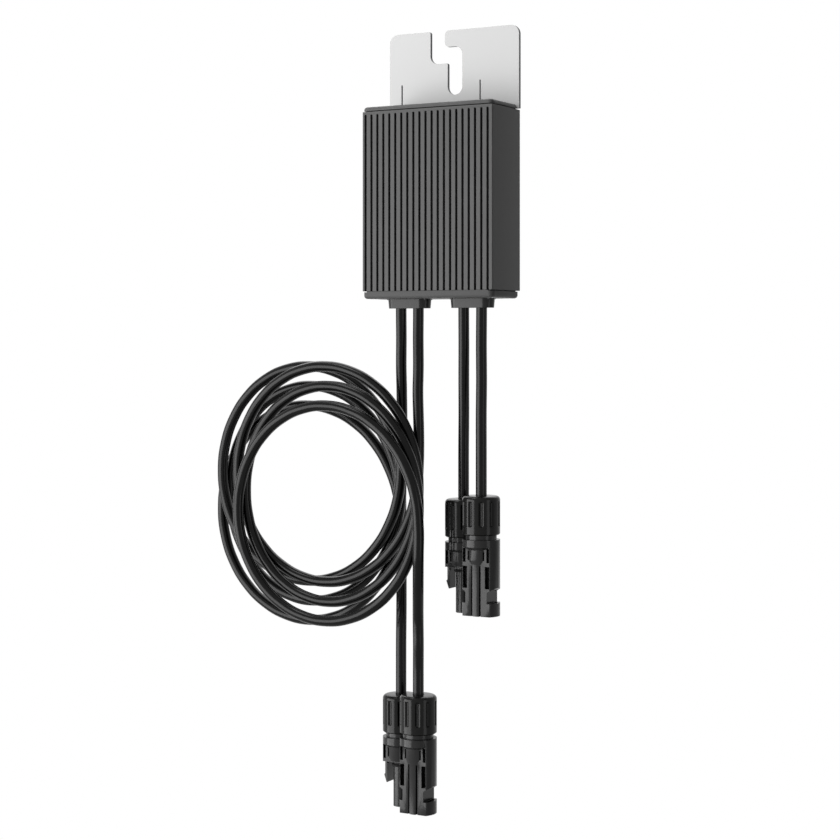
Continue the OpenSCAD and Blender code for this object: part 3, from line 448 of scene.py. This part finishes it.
def nutTree():
    tree, given = startTree("flutedNut", {
        "Geometry": "Geometry", "Columns": "Int", "Flute Count": "Int", "Half Share": "Float",
        "Flute Depth": "Float", "Flute High": "Float", "Flute Low": "Float", "Flute Run": "Float",
        "Turn Share": "Float", "Wall Radius": "Float", "Weld": "Float", "Place": "Vector",
        "Material": "Material"})
    # a sheet with one column for each step round the axis and one row for each point of the profile
    profileSize = addNode(tree, "GeometryNodeAttributeDomainSize",
                          links={0: given["Geometry"]}).outputs["Point Count"]
    columnCount = addNode(tree, maths, {1: 1.0}, {0: given["Columns"]}, operation="ADD").outputs[0]
    sheet = addNode(tree, "GeometryNodeMeshGrid",
                    links={"Vertices X": columnCount, "Vertices Y": profileSize})
    index = addNode(tree, "GeometryNodeInputIndex").outputs[0]
    row = addNode(tree, maths, links={0: index, 1: profileSize}, operation="MODULO").outputs[0]
    quotient = addNode(tree, maths, links={0: index, 1: profileSize}, operation="DIVIDE").outputs[0]
    column = addNode(tree, maths, links={0: quotient}, operation="FLOOR").outputs[0]
    profilePoint = addNode(tree, "GeometryNodeInputPosition").outputs[0]
    sampled = addNode(tree, "GeometryNodeSampleIndex",
                      links={"Geometry": given["Geometry"], "Value": profilePoint, "Index": row},
                      data_type="FLOAT_VECTOR").outputs[0]
    profile = addNode(tree, "ShaderNodeSeparateXYZ", links={0: sampled}).outputs
    # a round hollow across each flute, which fades out at both of its ends
    share = addNode(tree, maths, links={0: column, 1: given["Columns"]}, operation="DIVIDE").outputs[0]
    turned = addNode(tree, maths, links={0: share, 1: given["Turn Share"]}, operation="SUBTRACT").outputs[0]
    flutes = addNode(tree, maths, links={0: turned, 1: given["Flute Count"]},
                     operation="MULTIPLY").outputs[0]
    wrapped = addNode(tree, maths, {1: 0.5, 2: -0.5}, {0: flutes}, operation="WRAP").outputs[0]
    ratio = addNode(tree, maths, links={0: wrapped, 1: given["Half Share"]}, operation="DIVIDE").outputs[0]
    square = addNode(tree, maths, links={0: ratio, 1: ratio}, operation="MULTIPLY").outputs[0]
    hollow = addNode(tree, maths, {0: 1.0}, {1: square}, operation="SUBTRACT", use_clamp=True).outputs[0]
    highEnd = addNode(tree, maths, links={0: given["Flute High"], 1: given["Flute Run"]},
                      operation="SUBTRACT").outputs[0]
    lowEnd = addNode(tree, maths, links={0: given["Flute Low"], 1: given["Flute Run"]},
                     operation="ADD").outputs[0]
    fadeHigh = addNode(tree, "ShaderNodeMapRange",
                       links={"Value": profile["Z"], "From Min": given["Flute High"], "From Max": highEnd},
                       interpolation_type="SMOOTHSTEP").outputs[0]
    fadeLow = addNode(tree, "ShaderNodeMapRange",
                      links={"Value": profile["Z"], "From Min": given["Flute Low"], "From Max": lowEnd},
                      interpolation_type="SMOOTHSTEP").outputs[0]
    fade = addNode(tree, maths, links={0: fadeHigh, 1: fadeLow}, operation="MULTIPLY").outputs[0]
    outside = addNode(tree, maths, links={0: profile["X"], 1: given["Wall Radius"]},
                      operation="GREATER_THAN").outputs[0]
    pressed = addNode(tree, maths, links={0: hollow, 1: fade}, operation="MULTIPLY").outputs[0]
    pressedWall = addNode(tree, maths, links={0: pressed, 1: outside}, operation="MULTIPLY").outputs[0]
    drop = addNode(tree, maths, links={0: pressedWall, 1: given["Flute Depth"]},
                   operation="MULTIPLY").outputs[0]
    # the sheet rolled round the axis, set in its place and closed at its seam
    radius = addNode(tree, maths, links={0: profile["X"], 1: drop}, operation="SUBTRACT").outputs[0]
    angle = addNode(tree, maths, {1: 2 * math.pi}, {0: share}, operation="MULTIPLY").outputs[0]
    cosine = addNode(tree, maths, links={0: angle}, operation="COSINE").outputs[0]
    sine = addNode(tree, maths, links={0: angle}, operation="SINE").outputs[0]
    x = addNode(tree, maths, links={0: radius, 1: cosine}, operation="MULTIPLY").outputs[0]
    y = addNode(tree, maths, links={0: radius, 1: sine}, operation="MULTIPLY").outputs[0]
    local = addNode(tree, "ShaderNodeCombineXYZ", links={0: x, 1: y, 2: profile["Z"]}).outputs[0]
    placed = addNode(tree, "ShaderNodeVectorMath", links={0: local, 1: given["Place"]},
                     operation="ADD").outputs[0]
    swept = addNode(tree, "GeometryNodeSetPosition",
                    links={"Geometry": sheet.outputs["Mesh"], "Position": placed})
    closed = addNode(tree, "GeometryNodeMergeByDistance",
                     links={"Geometry": swept.outputs[0], "Distance": given["Weld"]})
    endTree(tree, closed.outputs[0], given["Material"])
    return tree


flutedNut = nutTree()
profilePoints = [(radius * mm, 0.0, z * mm) for radius, z in nutProfile()]
for connector, place in connectorPlaces.items():
    words = connector.split("_")
    name = words[0] + words[1].capitalize() + "CapNut"
    mesh = bakeTree(name, profilePoints, flutedNut, {
        "Columns": capNut["columns"], "Flute Count": capNut["fluteCount"],
        "Half Share": capNut["fluteWidth"] / 2 * capNut["fluteCount"] / 360,
        "Flute Depth": capNut["fluteDepth"] * mm, "Flute High": capNut["fluteHigh"] * mm,
        "Flute Low": capNut["fluteLow"] * mm, "Flute Run": capNut["fluteRun"] * mm,
        "Turn Share": capNut["fluteTurn"] / 360, "Wall Radius": capNut["wallRadius"] * mm,
        "Weld": capNut["weld"] * mm, "Place": fromHousing(*place),
        "Material": finish["mouldedPolyphenylene"]})
    piece = addPiece(name, mesh, finish["mouldedPolyphenylene"], "connector_moulding", connector + "_nut")
    connectorPieces[connector].append(piece)
print("cap nuts turned:", len(connectorPlaces))

# screws: one turned screw for each set, placed at the four corners of the box that its node fills
# sizes in mm, turn in degrees, and the sizes of the head are shares of the screw's diameter
screws = {
    "topCapScrewSet": {"node": "top_cap_screws", "diameter": 2.5, "length": 10.0, "turn": (0, 0, 0),
                       "head": "+Z"},
    "bottomCapScrewSet": {"node": "bottom_cap_screws", "diameter": 2.5, "length": 10.0, "turn": (180, 0, 0),
                          "head": "-Z"},
    "hookPlateScrewSet": {"node": "bracket_screws", "diameter": 3.5, "length": 9.0, "turn": (-90, 0, 0),
                          "head": "+Y"},
}
screwHead = {"spread": 1.0, "depth": 0.5, "rim": 0.06, "socket": 0.4, "socketDepth": 0.4, "sides": 24,
             "corners": 6}


def screwMesh(name, diameter, length):
    sides, corners = screwHead["sides"], screwHead["corners"]
    side = sides // corners  # points on each side of the hexagon socket
    headRadius, rim = screwHead["spread"] * diameter, screwHead["rim"] * diameter
    rings = [(diameter / 2, -length), (diameter / 2, -screwHead["depth"] * diameter),
             (headRadius - rim / 2, -rim), (headRadius - rim, 0.0)]
    angles = [2 * math.pi * k / sides for k in range(sides)]
    shape = bmesh.new()
    loops = [[shape.verts.new((radius * math.cos(a) * mm, radius * math.sin(a) * mm, z * mm)) for a in angles]
             for radius, z in rings]
    turns = [math.radians(360 / corners * k) for k in range(corners + 1)]
    corner = [Vector((math.cos(a), math.sin(a), 0)) * screwHead["socket"] * diameter for a in turns]
    for z in (0.0, -screwHead["socketDepth"] * diameter):
        ring = []
        for k in range(sides):
            along = corner[k // side].lerp(corner[k // side + 1], (k % side) / side)
            ring.append(shape.verts.new((along + Vector((0, 0, z))) * mm))
        loops.append(ring)
    for low, high in zip(loops, loops[1:]):
        for k in range(sides):
            shape.faces.new((low[k], low[(k + 1) % sides], high[(k + 1) % sides], high[k]))
    shape.faces.new(loops[0][::-1])
    shape.faces.new(loops[-1])
    return meshFrom(shape, name)


def screwTree():
    tree, given = startTree("screwSet", {"Geometry": "Geometry", "Screw": "Object", "Turn": "Rotation",
                                         "Material": "Material"})
    screw = addNode(tree, "GeometryNodeObjectInfo", links={"Object": given["Screw"]})
    spread = addNode(tree, "GeometryNodeInstanceOnPoints",
                     links={"Points": given["Geometry"], "Instance": screw.outputs["Geometry"],
                            "Rotation": given["Turn"]})
    endTree(tree, spread.outputs[0], given["Material"])
    return tree


screwSet = screwTree()
for name, screw in screws.items():
    low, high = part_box(screw["node"])
    inset = screwHead["spread"] * screw["diameter"] * mm
    acrossX = (low.x + inset, high.x - inset)
    if screw["head"] == "+Y":
        points = [(x, high.y, z) for x in acrossX for z in (low.z + inset, high.z - inset)]
    else:
        headZ = high.z if screw["head"] == "+Z" else low.z
        points = [(x, y, headZ) for x in acrossX for y in (low.y + inset, high.y - inset)]
    sample = addObject(name + "Sample", screwMesh(name + "Sample", screw["diameter"], screw["length"]))
    turn = [math.radians(a) for a in screw["turn"]]
    mesh = bakeTree(name, points, screwSet,
                    {"Screw": sample, "Turn": turn, "Material": finish["zincPlatedSteel"]})
    bpy.data.objects.remove(sample)
    addPiece(name, mesh, finish["zincPlatedSteel"], "screw_steel", screw["node"])
print("screws set:", len(screws))

# nodes that keep their own mesh, most of them inside the housing or the connectors
kept = {"epdmRubber": ["top_gasket", "bottom_gasket"], "zincPlatedSteel": ["board_screws"],
        "glassEpoxyBoard": ["circuit_board"], "sinteredFerrite": ["inductor_core"],
        "enamelledCopper": ["inductor_winding"], "shrinkFilm": ["capacitors"],
        "epoxyMoulding": ["power_transistors", "control_chip"], "filledSilicone": ["thermal_pad"],
        "tinnedCopper": ["cable_terminals"]}
for connector in connectorPlaces:
    kept["epdmRubber"].append(connector + "_seal")
    if connector.endswith("plug"):
        kept["tinnedCopper"].append(connector + "_pin")
        kept["epdmRubber"].append(connector + "_ring")
    else:
        kept["tinnedCopper"].append(connector + "_contact")
for material, names in kept.items():
    for name in names:
        nodes[name].data.materials.clear()
        nodes[name].data.materials.append(finish[material])
print("inner nodes painted:", sum(len(names) for names in kept.values()))

# stage: a pale round floor well below the hanging part, white to the camera towards its rim, in metres
floorDisc = {"radius": 0.9, "sides": 96, "x": -0.05, "z": -1.2, "colour": "#d8d8d8", "rough": 0.8,
             "shadowShare": 0.3, "rimStart": 0.35, "rimWidth": 0.06}


def whiteRays(tree):  # 1 for the rays that see a white backdrop, 0 for those that only light the part
    path = addNode(tree, "ShaderNodeLightPath").outputs
    direct = addNode(tree, maths, links={0: path["Is Camera Ray"], 1: path["Is Glossy Ray"]},
                     operation="MAXIMUM").outputs[0]
    return addNode(tree, maths, links={0: direct, 1: path["Is Transmission Ray"]},
                   operation="MAXIMUM").outputs[0]


def makeFloor():
    shape = bmesh.new()
    bmesh.ops.create_circle(shape, cap_ends=True, segments=floorDisc["sides"], radius=floorDisc["radius"])
    bmesh.ops.translate(shape, verts=shape.verts, vec=(floorDisc["x"], 0.0, floorDisc["z"]))
    mesh = meshFrom(shape, "studioFloor")
    material, tree, shader = newMaterial("paintedFloor")
    shader.inputs["Base Color"].default_value = linear(floorDisc["colour"])
    shader.inputs["Roughness"].default_value = floorDisc["rough"]
    place = addNode(tree, "ShaderNodeTexCoord").outputs["Object"]
    flat = addNode(tree, "ShaderNodeVectorMath", {1: (1, 1, 0)}, {0: place}, operation="MULTIPLY").outputs[0]
    reach = addNode(tree, "ShaderNodeVectorMath", links={0: flat}, operation="LENGTH").outputs["Value"]
    rim = addNode(tree, "ShaderNodeMapRange",
                  {"From Min": floorDisc["rimStart"], "From Max": floorDisc["radius"] - floorDisc["rimWidth"],
                   "To Min": 1 - floorDisc["shadowShare"], "To Max": 1.0}, {"Value": reach}).outputs[0]
    share = addNode(tree, maths, links={0: whiteRays(tree), 1: rim}, operation="MULTIPLY").outputs[0]
    glow = addNode(tree, "ShaderNodeEmission", {"Strength": 1.0}).outputs[0]
    mix = addNode(tree, "ShaderNodeMixShader", links={0: share, 1: shader.outputs[0], 2: glow}).outputs[0]
    tree.links.new(mix, tree.nodes["Material Output"].inputs["Surface"])
    mesh.materials.append(material)
    addObject("studioFloor", mesh)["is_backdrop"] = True


# world: white to the camera and in reflections, almost dark as a light
studioWorld = {"ambient": 0.02, "white": 1.0}


def makeWorld():
    world = bpy.data.worlds.new("studio")
    scene.world = world
    world.use_nodes = True
    tree = world.node_tree
    level = addNode(tree, "ShaderNodeMapRange",
                    {"To Min": studioWorld["ambient"], "To Max": studioWorld["white"]},
                    {"Value": whiteRays(tree)}).outputs[0]
    back = tree.nodes["Background"]
    back.inputs["Color"].default_value = (1, 1, 1, 1)
    tree.links.new(level, back.inputs["Strength"])


# soft boxes: turn is from the front towards the right, angles in degrees, sizes in metres
softBoxes = {"keyLeft": {"turn": -43, "rise": -4, "distance": 1.3, "size": (1.27, 0.98), "power": 31.5},
             "stripRight": {"turn": 72, "rise": -4, "distance": 1.3, "size": (0.4, 0.95), "power": 2.8},
             "topLeft": {"turn": -50, "rise": 62, "distance": 0.6, "size": (0.2, 0.2), "power": 1.0},
             "backFill": {"turn": 205, "rise": 50, "distance": 1.6, "size": (1.8, 1.4), "power": 20.0}}
lightAim = (0, 0, -60)  # halfway down the part, in mm from the housing


def makeLights():
    for name, box in softBoxes.items():
        turn, rise = math.radians(box["turn"]), math.radians(box["rise"])
        away = Vector((math.sin(turn) * math.cos(rise), -math.cos(turn) * math.cos(rise), math.sin(rise)))
        data = bpy.data.lights.new(name, "AREA")
        data.shape, data.energy = "RECTANGLE", box["power"]
        data.size, data.size_y = box["size"]
        light = addObject(name, data)
        light.location = fromHousing(*lightAim) + away * box["distance"]
        light.rotation_euler = away.to_track_quat("Z", "Y").to_euler()
        light.visible_camera = False


makeFloor()
makeWorld()
makeLights()
print("stage lit")

low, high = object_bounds()
